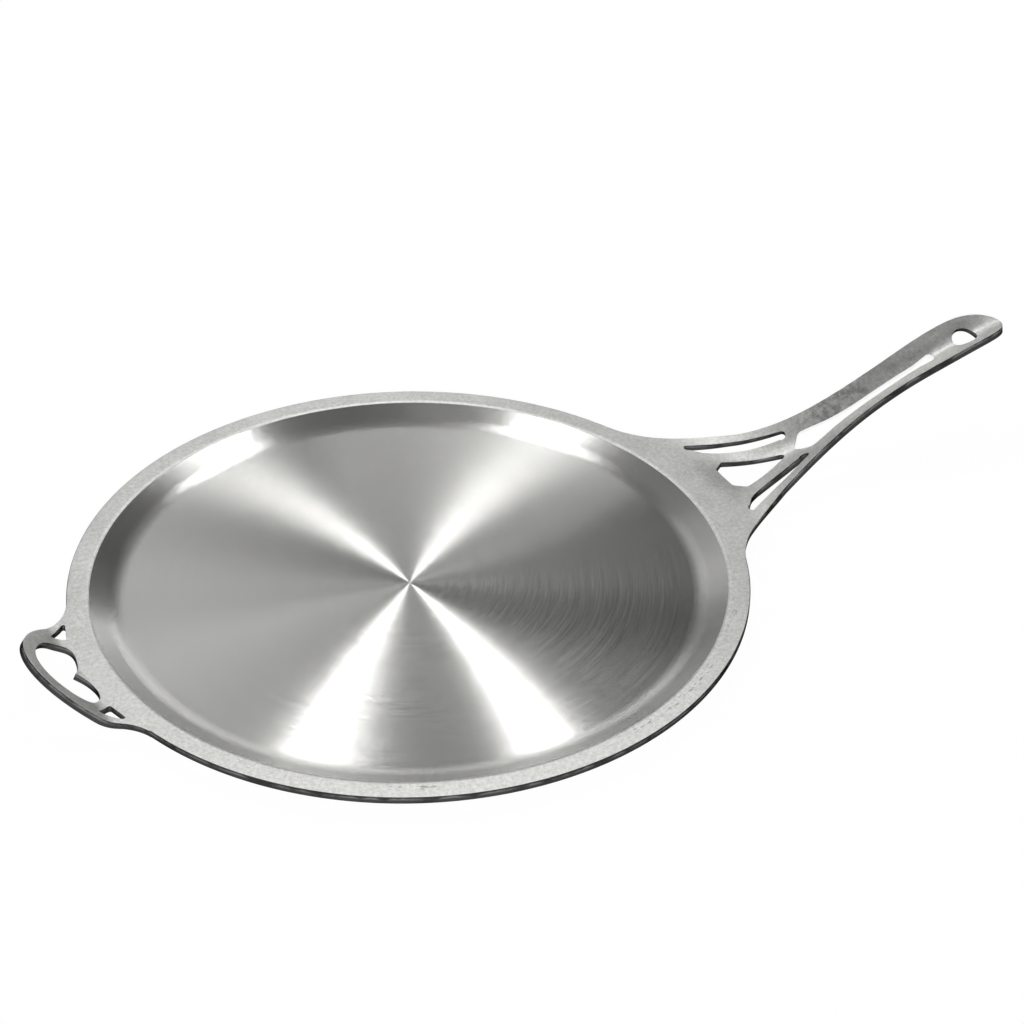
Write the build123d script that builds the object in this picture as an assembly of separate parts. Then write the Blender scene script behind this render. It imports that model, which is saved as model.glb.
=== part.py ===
from build123d import *
import math
import os

# One-piece steel griddle pan, millimetres.
# Origin: centre of the dish, on the plane that it stands on. +X runs out along
# the long handle, +Z is up. The pan is one seamless pressed sheet. It is written
# here as five zones of that sheet, which meet face to face where its forming or
# its finish changes: floor, wall, rim flange, long handle and helper handle.

# ---------------------------------------------------------------- sheet and dish
SHEET = 3.2                   # gauge of the blank
RIM_RADIUS = 150.0            # outside of the flat rim flange
FLANGE_WIDTH = 9.0            # from the crease to the outside of the rim
DISH_DEPTH = 5.5              # flange top above floor top
WALL_ANGLE = 25.0             # slope of the wall, degrees
COVE_RADIUS = 20.0            # inside of the bend from floor to wall
CREASE_INSIDE = 1.0           # inside of the bend from wall to flange
SEAM_MARGIN = 0.6             # zone borders lie this far out on the flats beside these bends

FLANGE_TOP = SHEET + DISH_DEPTH
CREASE_RADIUS = RIM_RADIUS - FLANGE_WIDTH
WALL_FOOT = CREASE_RADIUS - DISH_DEPTH / math.tan(math.radians(WALL_ANGLE))
HALF_TURN = math.tan(math.radians(WALL_ANGLE / 2))
FLOOR_SEAM = WALL_FOOT - COVE_RADIUS * HALF_TURN - SEAM_MARGIN
WALL_SEAM = CREASE_RADIUS + (CREASE_INSIDE + SHEET) * HALF_TURN + SEAM_MARGIN

# ---------------------------------------------------------------- long handle
# distances along x are measured outwards from the rim, heights from the flange top
HANDLE_ROOT = 2.0             # where the forming of the handle starts
HANDLE_LENGTH = 167.8         # to the tip
ROOT_HALF_WIDTH = 42.8        # half width at the root
WAIST = 101.0                 # slimmest place of the grip
WAIST_HALF_WIDTH = 10.2
FLARE_POWER = 2.25            # how fast the root narrows towards the waist
PALM_INSET = 28.8             # from the tip back to the widest place of the grip's end
PALM_SWELL = 1.5              # half width gained from waist to palm
TIP_POWER = 2.6               # roundness of the spoon-like end
GUTTER_DEPTH = 4.9            # sag of the pressed channel across its width
GUTTER_FULL = 32.0            # distance from which the channel has its full depth
GUTTER_FOLD = 3.2             # how soon the rails run straight out of the rounded fold
GUTTER_LIP = 1.2              # easing of the rails towards their lips
RISE_LINE = [                 # middle of the channel: distance, height
    (27.0, -2.3),
    (42.0, -0.2),
    (60.0, 5.5),
    (80.0, 13.7),
    (127.7, 31.7),
]
TIP_HEIGHT = 41.3
TIP_SLOPE = 0.17              # rise per run at the tip
HANG_HOLE_RADIUS = 6.0
HANG_HOLE_INSET = 20.3        # from the tip back to its centre
BRIDGE = 11.9                 # metal between the hang hole and the centre slot

# cut-outs of the long handle, plan points on the +y side: distance, y
WINDOW = [(14.1, 7.4), (19.8, 11.4), (49.5, 0.0)]
WINDOW_ROUND = 1.4
SIDE_RAIL = [(10.8, 6.6), (30.0, 5.0), (52.4, 5.1)]     # rail outside the side slot: distance, width
SLOT_INNER = [(50.0, 8.4), (36.0, 11.9), (23.0, 16.9), (15.0, 21.7), (11.4, 25.9)]
SLOT_TIP_BULGE = 2.6          # round ends of the side slot, height over their chords
SLOT_ROOT_BULGE = 1.55
SPINE_TIP = (53.2, 0.0)       # centre slot: blunt point, flared mouth, long narrow gap
SPINE_MOUTH = [(54.0, 1.5), (57.4, 5.0)]
SPINE_SHOULDER = [(57.4, 5.0), (58.9, 5.9), (60.8, 5.8)]
SPINE_TAPER = [(60.8, 5.8), (69.5, 4.0), (90.0, 1.8)]
SPINE_TAPER_ENDS = [(1, -0.12), (1, -0.02)]
SPINE_GAP = 1.6               # half width before the end bulb
SPINE_BULB = 2.4              # half width of the end bulb
SPINE_BULB_ENDS = [(1, 0), (1, 0.05)]
SPINE_BULB_LENGTH = 11.6      # from the start of the bulb to the end of the slot
SPINE_END_ROUND = 3.6         # length of its round end

# ---------------------------------------------------------------- helper handle
# distances are measured outwards from the rim, on the far side of the dish
HELPER_ROOT = -5.5            # its zone border, on the flange
HELPER_TIP = 24.9             # reach of the loop
LOOP_RADIUS = 41.2            # outer edge of the loop, seen from above
SHOULDER_RADIUS = 24.0        # hollow corner from the rim into the loop
HELPER_BEND = 4.4             # the bend line
HELPER_ANGLE = 38.0           # upward bend, degrees
HELPER_BEND_RADIUS = 12.0     # inside of that bend
# its cut-outs, laid out square to the middle of the bend: distance, y
FINGER_CUSP = (6.2, 0.0)
FINGER_SCALLOP = (2.0, 10.0)
FINGER_CORNER = [(4.0, 20.6), (8.0, 22.1)]
FINGER_CORNER_ENDS = [(-0.9, 1), (1, 0)]
FINGER_SIDE = (17.8, 16.2)
FINGER_SIDE_ENDS = [(1, 0), (0, -1)]
FINGER_RAIL = 5.2             # rail beyond the finger hole, at the tip
EAR_HOLE = [(-2.6, 4.0), (0.8, 16.4), (7.2, 13.0)]      # distance, inset from the loop's widest place
EAR_ROUND = 0.8

# ---------------------------------------------------------------- working values
GUTTER_STATIONS = (0.15, 0.4, 0.7, 1.0)         # shares of the half width where a slice is set out
GRIP_STATIONS = 16                              # slices from the root to the palm
TIP_TURNS = (20, 37, 51, 63, 73, 81, 86)        # slices of the round tip, degrees
BEND_STATIONS = 8                               # slices from the helper's bend into its loop
LOOP_TURNS = (46, 51, 56, 61, 66, 71, 76, 81, 84, 86.5)
HALVINGS = 40                                   # steps of the search along a curve
MIDDLE = Plane.XZ             # the pan's plane of symmetry
LOW, HIGH = -20.0, 80.0       # reach of an upright cut
AT_RIM = Pos(RIM_RADIUS, 0, FLANGE_TOP)


# ---------------------------------------------------------------- outlines
def flipped(point):
    """Mirror image of a plan point in the plane of symmetry."""
    return (point[0], -point[1])


def upright(outline, low=LOW, high=HIGH):
    """Upright solid from a closed plan outline, given as a sketch or as edges."""
    face = outline if isinstance(outline, Sketch) else make_face(outline)
    return extrude(Pos(0, 0, low) * face, high - low, dir=(0, 0, 1))


def symmetric(edges):
    """The edges of one side together with their mirror images."""
    return [*edges, *[mirror(edge, about=MIDDLE) for edge in edges]]


# ---------------------------------------------------------------- dish
def dish_profile():
    """Half section of floor, wall and flange."""
    shift = SHEET * HALF_TURN
    top = FilletPolyline(
        (0, SHEET), (WALL_FOOT, SHEET), (CREASE_RADIUS, FLANGE_TOP), (RIM_RADIUS, FLANGE_TOP),
        radius=[COVE_RADIUS, CREASE_INSIDE + SHEET])
    bottom = FilletPolyline(
        (0, 0), (WALL_FOOT + shift, 0), (CREASE_RADIUS + shift, DISH_DEPTH), (RIM_RADIUS, DISH_DEPTH),
        radius=[COVE_RADIUS + SHEET, CREASE_INSIDE])
    sides = [Line((0, 0), (0, SHEET)), Line((RIM_RADIUS, DISH_DEPTH), (RIM_RADIUS, FLANGE_TOP))]
    return make_face([*top.edges(), *bottom.edges(), *sides])


def cooking_floor():
    return upright(Circle(FLOOR_SEAM), 0, SHEET)


def coved_wall():
    dish = revolve(MIDDLE * dish_profile(), Axis.Z)
    ring = upright(Circle(WALL_SEAM)) - upright(Circle(FLOOR_SEAM))
    return dish & ring


# ---------------------------------------------------------------- rim flange
def root_corner():
    """Centre and radius of the hollow corner between the rim and the long handle.

    It touches the rim circle and runs smoothly into the handle's side at the root.
    """
    slope = -(ROOT_HALF_WIDTH - WAIST_HALF_WIDTH) * FLARE_POWER / (WAIST - HANDLE_ROOT)
    lean = math.atan(slope)
    outward = Vector(-math.sin(lean), math.cos(lean))
    start = Vector(RIM_RADIUS + HANDLE_ROOT, ROOT_HALF_WIDTH)
    radius = (start.dot(start) - RIM_RADIUS ** 2) / (2 * (RIM_RADIUS - start.dot(outward)))
    return start + outward * radius, radius


def shoulder_corner():
    """Centre of the hollow corner between the rim and the helper loop, seen from the dish's centre."""
    loop_centre = RIM_RADIUS + HELPER_TIP - LOOP_RADIUS
    to_rim = RIM_RADIUS + SHOULDER_RADIUS
    to_loop = LOOP_RADIUS + SHOULDER_RADIUS
    along = (to_rim ** 2 - to_loop ** 2 + loop_centre ** 2) / (2 * loop_centre)
    return Vector(along, math.sqrt(to_rim ** 2 - along ** 2))


def shoulder(centre, radius, root, half_width):
    """Flat web that fills the rim's two hollow corners, up to the root of a handle on the +x side."""
    touch = centre * (RIM_RADIUS / (RIM_RADIUS + radius))
    end = RIM_RADIUS + root
    web = upright(Polygon(
        (0, 0), (touch.X, -touch.Y), (end, -half_width), (end, half_width), (touch.X, touch.Y),
        align=None), DISH_DEPTH, FLANGE_TOP)
    for side in (1, -1):
        web -= Pos(centre.X, side * centre.Y) * upright(Circle(radius))
    return web


def inside_of(root):
    """Everything on the dish's side of a handle's root, for a handle on the +x side."""
    width = 4 * RIM_RADIUS
    return upright(Pos(RIM_RADIUS + root - width / 2, 0) * Rectangle(width, width))


def rim_flange():
    """Flat ring with a shoulder on each side, up to the roots of the two handles."""
    ring = upright(Circle(RIM_RADIUS), DISH_DEPTH, FLANGE_TOP)
    centre, radius = root_corner()
    ring += shoulder(centre, radius, HANDLE_ROOT, ROOT_HALF_WIDTH)
    helper_side = shoulder(shoulder_corner(), SHOULDER_RADIUS, HELPER_ROOT, helper_half_width(HELPER_ROOT))
    ring += mirror(helper_side, about=Plane.YZ)
    ring -= upright(Circle(WALL_SEAM))
    return ring & mirror(inside_of(HELPER_ROOT), about=Plane.YZ)


# ---------------------------------------------------------------- formed handles
def sheet_section(point, along, half_width, sag):
    """Slice through a formed handle, square to its line, with its edges square to the sheet.

    The channel is a rounded fold between two nearly straight rails: its height over the middle is
    sag * ((1 + fold - lip) u^2 - fold u^3 + lip u^4), where u is the share of the half width.
    """
    across = Plane(origin=point, x_dir=(0, 1, 0), z_dir=along)
    if sag == 0:
        flat = Polygon(
            (-half_width, 0), (half_width, 0), (half_width, -SHEET), (-half_width, -SHEET), align=None)
        return across * flat
    bottom = 1 + GUTTER_FOLD - GUTTER_LIP
    upper, lower = [(0, 0)], [(0, -SHEET)]
    for share in GUTTER_STATIONS:
        height = sag * (bottom * share ** 2 - GUTTER_FOLD * share ** 3 + GUTTER_LIP * share ** 4)
        steepness = 2 * bottom * share - 3 * GUTTER_FOLD * share ** 2 + 4 * GUTTER_LIP * share ** 3
        lean = math.atan(sag / half_width * steepness)
        upper.append((share * half_width, height))
        lower.append((share * half_width + SHEET * math.sin(lean), height - SHEET * math.cos(lean)))
    top = Spline(*[(-x, y) for x, y in reversed(upper[1:])], *upper)
    under = Spline(*reversed(lower), *[(-x, y) for x, y in lower[1:]])
    return across * make_face([top, Line(top @ 1, under @ 0), under, Line(under @ 1, top @ 0)])


def place_on(curve, distance):
    """Place along a curve, from 0 to 1, where it has come this far along x."""
    low, high = 0.0, 1.0
    for _ in range(HALVINGS):
        middle = (low + high) / 2
        if (curve @ middle).X < distance:
            low = middle
        else:
            high = middle
    return (low + high) / 2


def formed_handle(curve, distances, half_width, sag):
    """The sheet swept along its line, with the width and the sag that it has at each distance."""
    slices = []
    for distance in distances:
        at = place_on(curve, distance)
        slices.append(sheet_section(curve @ at, curve % at, half_width(distance), sag(distance)))
    return loft(slices)


def handle_half_width(x):
    """Half width of the long handle at this distance from the rim."""
    if x < WAIST:
        flare = (WAIST - x) / (WAIST - HANDLE_ROOT)
        return WAIST_HALF_WIDTH + (ROOT_HALF_WIDTH - WAIST_HALF_WIDTH) * flare ** FLARE_POWER
    palm = HANDLE_LENGTH - PALM_INSET
    swell = math.sin(math.pi / 2 * min(1, (x - WAIST) / (palm - WAIST))) ** 2
    rounding = max(0, (x - palm) / PALM_INSET)
    return (WAIST_HALF_WIDTH + PALM_SWELL * swell) * math.sqrt(1 - rounding ** TIP_POWER)


def gutter_sag(x):
    """Depth of the pressed channel: none at the root, fading out in the round tip."""
    palm = HANDLE_LENGTH - PALM_INSET
    step = min(1, (x - HANDLE_ROOT) / (GUTTER_FULL - HANDLE_ROOT))
    fade = handle_half_width(x) / handle_half_width(palm) if x > palm else 1
    return GUTTER_DEPTH * step ** 2 * (3 - 2 * step) * fade ** 2


def handle_curve():
    """Top of the sheet along the long handle's axis: a dip, a rise and an easing end."""
    line = [(HANDLE_ROOT, 0.0), *RISE_LINE, (HANDLE_LENGTH, TIP_HEIGHT)]
    return Spline([(x, 0, height) for x, height in line], tangents=[(1, 0, 0), (1, 0, TIP_SLOPE)])


def window_outline():
    """Three-sided window with a blunt base, between the two inner struts."""
    base, corner, apex = WINDOW
    points = [base, corner, apex, flipped(corner), flipped(base)]
    return FilletPolyline(*points, radius=WINDOW_ROUND, close=True).edges()


def side_slot_outline():
    """Crescent between the outer rail and the inner strut."""
    outer = [(x, handle_half_width(x) - rail) for x, rail in SIDE_RAIL]
    return [
        ThreePointArc(*outer),
        SagittaArc(outer[-1], SLOT_INNER[0], SLOT_TIP_BULGE),
        Spline(*SLOT_INNER),
        SagittaArc(SLOT_INNER[-1], outer[0], SLOT_ROOT_BULGE),
    ]


def centre_slot_outline():
    """Long gap down the grip: blunt point, flared mouth, narrow gap, small bulb."""
    end = HANDLE_LENGTH - HANG_HOLE_INSET - HANG_HOLE_RADIUS - BRIDGE
    gap_end = (end - SPINE_BULB_LENGTH, SPINE_GAP)
    bulb = (end - SPINE_END_ROUND, SPINE_BULB)
    side = [
        Line(*SPINE_MOUTH),
        ThreePointArc(*SPINE_SHOULDER),
        Spline(*SPINE_TAPER, tangents=SPINE_TAPER_ENDS),
        Line(SPINE_TAPER[-1], gap_end),
        Spline(gap_end, bulb, tangents=SPINE_BULB_ENDS),
    ]
    start = SPINE_MOUTH[0]
    point = ThreePointArc(flipped(start), SPINE_TIP, start)
    return [point, *symmetric(side), ThreePointArc(bulb, (end, 0), flipped(bulb))]


def long_handle():
    palm = HANDLE_LENGTH - PALM_INSET
    step = (palm - HANDLE_ROOT) / GRIP_STATIONS
    distances = [HANDLE_ROOT + step * count for count in range(GRIP_STATIONS + 1)]
    distances += [palm + PALM_INSET * math.sin(math.radians(turn)) for turn in TIP_TURNS]
    curve = handle_curve()
    handle = formed_handle(curve, distances, handle_half_width, gutter_sag)

    side_slot = upright(side_slot_outline())
    handle -= side_slot
    handle -= mirror(side_slot, about=MIDDLE)
    handle -= upright(window_outline())
    handle -= upright(centre_slot_outline())

    at = place_on(curve, HANDLE_LENGTH - HANG_HOLE_INSET)
    along = curve % at
    drill = Plane(origin=curve @ at, z_dir=(-along.Z, 0, along.X))
    handle -= drill * Cylinder(HANG_HOLE_RADIUS, HIGH - LOW)
    return AT_RIM * handle


def helper_half_width(distance):
    """Half width of the helper handle at this distance from the rim."""
    corner = shoulder_corner() - Vector(RIM_RADIUS, 0)
    loop_centre = HELPER_TIP - LOOP_RADIUS
    share = LOOP_RADIUS / (LOOP_RADIUS + SHOULDER_RADIUS)
    if distance < loop_centre + (corner.X - loop_centre) * share:
        return corner.Y - math.sqrt(SHOULDER_RADIUS ** 2 - (corner.X - distance) ** 2)
    return math.sqrt(LOOP_RADIUS ** 2 - (distance - loop_centre) ** 2)


def helper_curve(start):
    """Top of the sheet along the helper's axis: flat, one bend, straight to the tip."""
    rise = (HELPER_TIP - HELPER_BEND) * math.tan(math.radians(HELPER_ANGLE))
    return FilletPolyline(
        (start, 0, 0), (HELPER_BEND, 0, 0), (HELPER_TIP, 0, rise), radius=HELPER_BEND_RADIUS)


def finger_hole_outline():
    """Finger hole: two scallops with a cusp between them, and a bowed outer side."""
    angle = math.radians(HELPER_ANGLE)
    tip = HELPER_BEND + (HELPER_TIP - HELPER_BEND) * math.cos(angle / 2) / math.cos(angle)
    return symmetric([
        Spline(FINGER_CUSP, FINGER_SCALLOP, *FINGER_CORNER, tangents=FINGER_CORNER_ENDS),
        Spline(FINGER_CORNER[-1], FINGER_SIDE, (tip - FINGER_RAIL, 0), tangents=FINGER_SIDE_ENDS),
    ])


def ear_hole_outline():
    """Small three-sided hole beside the finger hole."""
    corners = [(x, LOOP_RADIUS - inset) for x, inset in EAR_HOLE]
    return FilletPolyline(*corners, radius=EAR_ROUND, close=True).edges()


def bent_cut(outline):
    """Through cut, square to the middle of the helper's bend."""
    tilt = Pos(HELPER_BEND, 0, 0) * Rot(0, -HELPER_ANGLE / 2, 0) * Pos(-HELPER_BEND, 0, 0)
    return AT_RIM * tilt * upright(outline)


def helper_handle():
    bend_start = HELPER_BEND - HELPER_BEND_RADIUS * math.tan(math.radians(HELPER_ANGLE / 2))
    turns = [math.radians(turn) for turn in LOOP_TURNS]
    loop = [HELPER_TIP - LOOP_RADIUS + LOOP_RADIUS * math.sin(turn) for turn in turns]
    step = (loop[0] - bend_start) / BEND_STATIONS
    distances = [bend_start + step * count for count in range(BEND_STATIONS)] + loop
    bent = formed_handle(helper_curve(HELPER_ROOT), distances, helper_half_width, lambda distance: 0)
    flat = shoulder(shoulder_corner(), SHOULDER_RADIUS, bend_start, helper_half_width(bend_start))
    handle = AT_RIM * bent + (flat - inside_of(HELPER_ROOT))

    ear = bent_cut(ear_hole_outline())
    handle -= ear
    handle -= mirror(ear, about=MIDDLE)
    handle -= bent_cut(finger_hole_outline())
    return mirror(handle, about=Plane.YZ)


os.makedirs("parts", exist_ok=True)
ZONES = {
    "cooking_floor": cooking_floor,
    "coved_wall": coved_wall,
    "rim_flange": rim_flange,
    "long_handle": long_handle,
    "helper_handle": helper_handle,
}
for name, build in ZONES.items():
    export_step(build(), os.path.join("parts", name + ".step"))
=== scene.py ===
import math

import bmesh
import bpy
import numpy as np
from mathutils import Matrix, Vector
from mathutils.geometry import delaunay_2d_cdt
from mathutils.kdtree import KDTree


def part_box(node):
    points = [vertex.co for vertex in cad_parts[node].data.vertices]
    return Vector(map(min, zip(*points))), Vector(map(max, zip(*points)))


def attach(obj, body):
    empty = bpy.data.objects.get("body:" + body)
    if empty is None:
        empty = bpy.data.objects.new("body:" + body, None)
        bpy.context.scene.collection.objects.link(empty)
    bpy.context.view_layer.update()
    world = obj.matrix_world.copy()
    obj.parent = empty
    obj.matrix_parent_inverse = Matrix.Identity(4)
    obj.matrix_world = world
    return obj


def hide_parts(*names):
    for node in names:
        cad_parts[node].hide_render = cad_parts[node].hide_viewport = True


bl_info = {
    "name": "Steel Griddle Pan",
    "version": (1, 0, 0),
    "blender": (4, 5, 0),
    "location": "3D View > Sidebar > Griddle",
    "description": "Builds a one-piece pressed steel griddle pan on its packed frame",
    "category": "Object",
}

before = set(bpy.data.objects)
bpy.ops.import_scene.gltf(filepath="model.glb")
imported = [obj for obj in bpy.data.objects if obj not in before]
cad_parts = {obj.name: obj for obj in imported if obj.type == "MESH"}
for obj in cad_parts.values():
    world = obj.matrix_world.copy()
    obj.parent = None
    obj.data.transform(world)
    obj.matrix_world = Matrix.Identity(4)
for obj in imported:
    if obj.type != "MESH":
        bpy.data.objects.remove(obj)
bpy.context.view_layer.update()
FLANGE_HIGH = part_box("rim_flange")[1]
FLOOR_LOW, FLOOR_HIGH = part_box("cooking_floor")
HANDLE_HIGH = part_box("long_handle")[1]
HELPER_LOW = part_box("helper_handle")[0]
WALL_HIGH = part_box("coved_wall")[1]
MM = 0.001

# ---------------- outlines of the blank, in millimetres
# long handle: distances are measured outwards from the rim, heights from the flange top
TIP_REACH = 317.8  # from the pan's axis to the tip
HANDLE_ROOT = 2.0  # where the forming starts
WAIST = 101.0  # slimmest place of the grip
WAIST_HALF_WIDTH = 10.2
FLARE_POWER = 2.25
FLARE_LIMIT = 1.2
PALM_INSET = 28.8  # from the tip back to the widest place of the grip's end
PALM_SWELL = 1.5
TIP_POWER = 2.6
GUTTER_DEPTH = 4.9
GUTTER_FULL = 32.0
GUTTER_FOLD = 3.2
GUTTER_LIP = 1.2
GUTTER_LIMIT = 1.02
RISE_LINE = [(27.0, -2.3), (42.0, -0.2), (60.0, 5.5), (80.0, 13.7), (127.7, 31.7)]
TIP_HEIGHT = 41.3
TIP_SLOPE = 0.17
HANG_HOLE_RADIUS = 6.0
HANG_HOLE_INSET = 20.3
BRIDGE = 11.9  # metal between the hang hole and the centre slot
WINDOW = [(14.1, 7.4), (19.8, 11.4), (49.5, 0.0)]
WINDOW_ROUND = 1.4
SIDE_RAIL = [(10.8, 6.6), (30.0, 5.0), (52.4, 5.1)]
SLOT_INNER = [(50.0, 8.4), (36.0, 11.9), (23.0, 16.9), (15.0, 21.7), (11.4, 25.9)]
SLOT_TIP_BULGE = 2.6
SLOT_ROOT_BULGE = 1.55
SPINE_TIP = (53.2, 0.0)
SPINE_MOUTH = [(54.0, 1.5), (57.4, 5.0)]
SPINE_SHOULDER = [(57.4, 5.0), (58.9, 5.9), (60.8, 5.8)]
SPINE_TAPER = [(60.8, 5.8), (69.5, 4.0), (90.0, 1.8)]
SPINE_TAPER_ENDS = [(1, -0.12), (1, -0.02)]
SPINE_GAP = 1.6
SPINE_BULB = 2.4
SPINE_BULB_ENDS = [(1, 0), (1, 0.05)]
SPINE_BULB_LENGTH = 11.6
SPINE_END_ROUND = 3.6
SPINE_MARGIN = (1.0, 0.5)  # what still counts as this slot's wall, along and across

# helper handle: distances are measured outwards from the rim on the far side
LOOP_RADIUS = 41.2
SHOULDER_RADIUS = 24.0
HELPER_BEND = 4.4
HELPER_ANGLE = math.radians(38.0)
HELPER_BEND_RADIUS = 12.0
FINGER_CUSP = (6.2, 0.0)
FINGER_SCALLOP = (2.0, 10.0)
FINGER_CORNER = [(4.0, 20.6), (8.0, 22.1)]
FINGER_CORNER_ENDS = [(-0.9, 1), (1, 0)]
FINGER_SIDE = (17.8, 16.2)
FINGER_SIDE_ENDS = [(1, 0), (0, -1)]
FINGER_RAIL = 5.2
EAR_HOLE = [(-2.6, 4.0), (0.8, 16.4), (7.2, 13.0)]
EAR_ROUND = 0.8

# how finely lines and the sheet between them are divided
SPACING = 0.8
FINE_SPACING = 0.4
CORNER_SPACING = 0.35
SHOULDER_SPACING = 0.5
LINE_SPACING = 0.25
RIM_SPACING = 0.9
LEAST_GAP = 0.12
LEAST_WIDTH = 1e-3
SIDE_STATIONS = 150
TIP_STATIONS = 60
TIP_START = 0.02
MOUTH_STEPS = 7
GAP_STEPS = 36
HOLE_STEPS = 48
VIEW_SPAN = (-20, 2)  # before the rim and beyond the tip
VIEW_STATIONS = 2000
SETTLING = 6  # rounds that find the station under a plan point
GRID_SPACING = 1.3
ROW_SPACING = GRID_SPACING * 0.866
GRID_CLEARANCE = 0.75  # of the grid from every edge
GRADE_STEP = 0.02
SAME_POINT = 1e-5

# mesh, in metres
FILLET_STEPS = 9
MERGE_DISTANCE = 1e-6
SEAM_REACH = 0.0002
SEAM_CLEARANCE = 0.0005
RIM_REACH = 0.0001
UPRIGHT = 0.05  # a face whose normal rises less than this stands upright
UNDERSIDE = 0.2  # a face whose normal rises less than this looks down
TOP_SKIN, CUT_SKIN, SLOT_SKIN = 0, 1, 2


# ---------------- settings
def length(name, description, default):
    return bpy.props.FloatProperty(
        name=name, description=description, subtype="DISTANCE", unit="LENGTH", default=default)


def colour(name, description, *default):
    return bpy.props.FloatVectorProperty(
        name=name, description=description, subtype="COLOR", size=3, default=default)


class PanSizes(bpy.types.PropertyGroup):
    sheet: length("Sheet", "Gauge of the blank", FLOOR_HIGH.z - FLOOR_LOW.z)
    rim_radius: length("Rim radius", "Outside of the flat flange", FLANGE_HIGH.y)
    flange_top: length("Flange height", "Top of the flange above the underside", FLANGE_HIGH.z)
    flange_width: length("Flange width", "From the crease to the outside of the rim", 0.009)
    seam_radius: length("Seam radius", "Border between dish and flange", WALL_HIGH.y)
    wall_angle: bpy.props.FloatProperty(
        name="Wall angle", description="Slope of the coved wall", subtype="ANGLE",
        default=math.radians(25.0))
    cove_radius: length("Cove", "Inside of the bend from floor to wall", 0.020)
    crease_inside: length("Crease", "Inside of the bend from wall to flange", 0.001)
    root_half_width: length("Root half width", "Half width of the long handle at its root", HANDLE_HIGH.y)
    edge_round: length("Edge", "Broken edge along the cut outline", 0.0003)
    turns: bpy.props.IntProperty(
        name="Segments", description="Steps of the dish round its axis", default=360, min=24)


class SteelLooks(bpy.types.PropertyGroup):
    turned: colour("Turned steel", "Colour of the dish", 0.55, 0.548, 0.53)
    blasted: colour("Blasted steel", "Colour of flange and handles", 0.63, 0.628, 0.612)
    cut: colour("Cut edge", "Colour of the cut edge of the sheet", 0.06, 0.06, 0.06)
    slot: colour("Slot wall", "Colour of the smoothed walls of the long slot", 0.95, 0.95, 0.95)


# ---------------- curves in the plan
def unit(vector):
    return vector / np.linalg.norm(vector)


def ray(angle):
    return np.array((math.cos(angle), math.sin(angle)))


def smooth_line(points, ends=None, spacing=SPACING):
    """Cubic line through plan points, with end directions where they are given."""
    points = np.array(points, float)
    steps = np.linalg.norm(np.diff(points, axis=0), axis=1)
    count = len(points)
    system = np.zeros((count, count))
    target = np.zeros((count, points.shape[1]))
    for i in range(1, count - 1):
        before, after = steps[i - 1], steps[i]
        behind, ahead = points[i] - points[i - 1], points[i + 1] - points[i]
        system[i, i - 1], system[i, i], system[i, i + 1] = after, 2 * (before + after), before
        target[i] = 3 * (after * behind / before + before * ahead / after)
    for row, neighbour, step in ((0, 1, steps[0]), (count - 1, count - 2, steps[-1])):
        system[row, row] = 2.0
        system[row, neighbour] = 1.0
        target[row] = 3 * (points[max(row, neighbour)] - points[min(row, neighbour)]) / step
    if ends:
        for row, direction in ((0, ends[0]), (count - 1, ends[1])):
            system[row] = 0
            system[row, row] = 1.0
            target[row] = unit(np.array(direction, float))
    slopes = np.linalg.solve(system, target)
    out = [points[0]]
    for i in range(count - 1):
        parts = max(2, int(math.ceil(steps[i] / spacing)))
        for k in range(1, parts + 1):
            t, h = k / parts, steps[i]
            out.append(
                (2 * t ** 3 - 3 * t ** 2 + 1) * points[i] + (t ** 3 - 2 * t ** 2 + t) * h * slopes[i]
                + (3 * t ** 2 - 2 * t ** 3) * points[i + 1] + (t ** 3 - t ** 2) * h * slopes[i + 1])
    return out


def arc_through(start, middle, end, spacing=SPACING):
    """Circular arc through three plan points."""
    (ax, ay), (bx, by), (cx, cy) = start, middle, end
    a2, b2, c2 = ax ** 2 + ay ** 2, bx ** 2 + by ** 2, cx ** 2 + cy ** 2
    d = 2 * (ax * (by - cy) + bx * (cy - ay) + cx * (ay - by))
    ux = (a2 * (by - cy) + b2 * (cy - ay) + c2 * (ay - by)) / d
    uy = (a2 * (cx - bx) + b2 * (ax - cx) + c2 * (bx - ax)) / d
    radius = math.hypot(ax - ux, ay - uy)
    first = math.atan2(ay - uy, ax - ux)
    mid_turn = (math.atan2(by - uy, bx - ux) - first) % math.tau
    end_turn = (math.atan2(cy - uy, cx - ux) - first) % math.tau
    if mid_turn > end_turn:
        end_turn -= math.tau
    parts = max(4, int(math.ceil(abs(end_turn) * radius / spacing)))
    angles = [first + end_turn * k / parts for k in range(parts + 1)]
    return [np.array((ux + radius * math.cos(a), uy + radius * math.sin(a))) for a in angles]


def hollow(start, end, centre, radius):
    """The shorter arc round a centre."""
    return arc_through(start, centre + unit((start + end) / 2 - centre) * radius, end)


def bulged(start, end, height):
    """Arc over a chord, bulging to the left of it where the height is negative."""
    start, end = np.array(start, float), np.array(end, float)
    along = unit(end - start)
    side = np.array((along[1], -along[0]))
    return arc_through(start, (start + end) / 2 + side * height, end, FINE_SPACING)


def straight(start, end, parts):
    """Points on a straight line, its start left out."""
    start, end = np.array(start, float), np.array(end, float)
    return [start + (end - start) * k / parts for k in range(1, parts + 1)]


def filled(points):
    """The same closed line with no long gap between its points."""
    out = []
    for a, b in zip(points, points[1:] + points[:1]):
        out += [a, *straight(a, b, max(1, int(math.ceil(np.linalg.norm(b - a) / SPACING))))[:-1]]
    return out


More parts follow.
